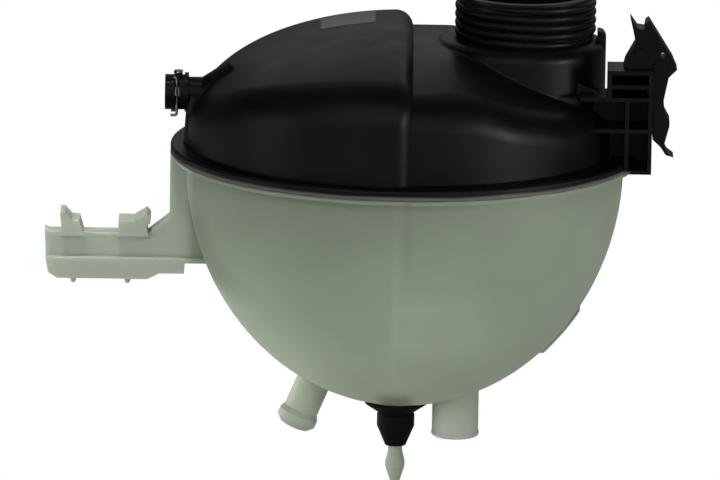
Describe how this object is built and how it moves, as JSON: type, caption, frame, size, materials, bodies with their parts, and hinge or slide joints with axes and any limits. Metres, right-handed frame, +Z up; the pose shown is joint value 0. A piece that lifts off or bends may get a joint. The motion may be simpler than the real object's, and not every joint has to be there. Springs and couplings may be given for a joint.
{
  "type": "coolant expansion tank",
  "caption": "Round coolant expansion tank: pale translucent bowl under a black housing with a filler neck, vent socket, hose nipple, sensor socket, holder arm and locating peg.",
  "frame": {"origin": "centre of the grommet's land, on the axis of the locating peg under the tank", "axes": "+Z up through the tank, +X towards the filler neck and the bracket, -Y towards the viewer"},
  "size_m": [0.2666, 0.199, 0.214],
  "materials": {
    "bowl_plastic": "natural translucent polypropylene, satin",
    "housing_plastic": "black moulded, satin",
    "clip_plastic": "black moulded, satin",
    "spring_wire": "bright",
    "black_rubber": "matte",
    "float_plastic": "matte",
    "magnet_ferrite": "matte",
    "retainer_plastic": "satin"
  },
  "bodies": {
    "tank": {"lower_tank_shell": "bowl_plastic", "upper_tank_shell": "housing_plastic", "vent_seal_ring": "black_rubber", "line_clip": "clip_plastic", "mounting_grommet": "black_rubber", "float_retainer": "retainer_plastic"},
    "vent_clip": {"vent_retaining_clip": "spring_wire"},
    "float": {"level_float": "float_plastic", "float_magnet": "magnet_ferrite"}
  },
  "joints": [
    {"name": "clip_pull", "type": "slide", "parent": "tank", "child": "vent_clip", "axis": [0, 0, 1], "range_m": [0, 0.0026]},
    {"name": "float_rise", "type": "slide", "parent": "tank", "child": "float", "axis": [0, 0, 1], "range_m": [0, 0.006]}
  ]
}
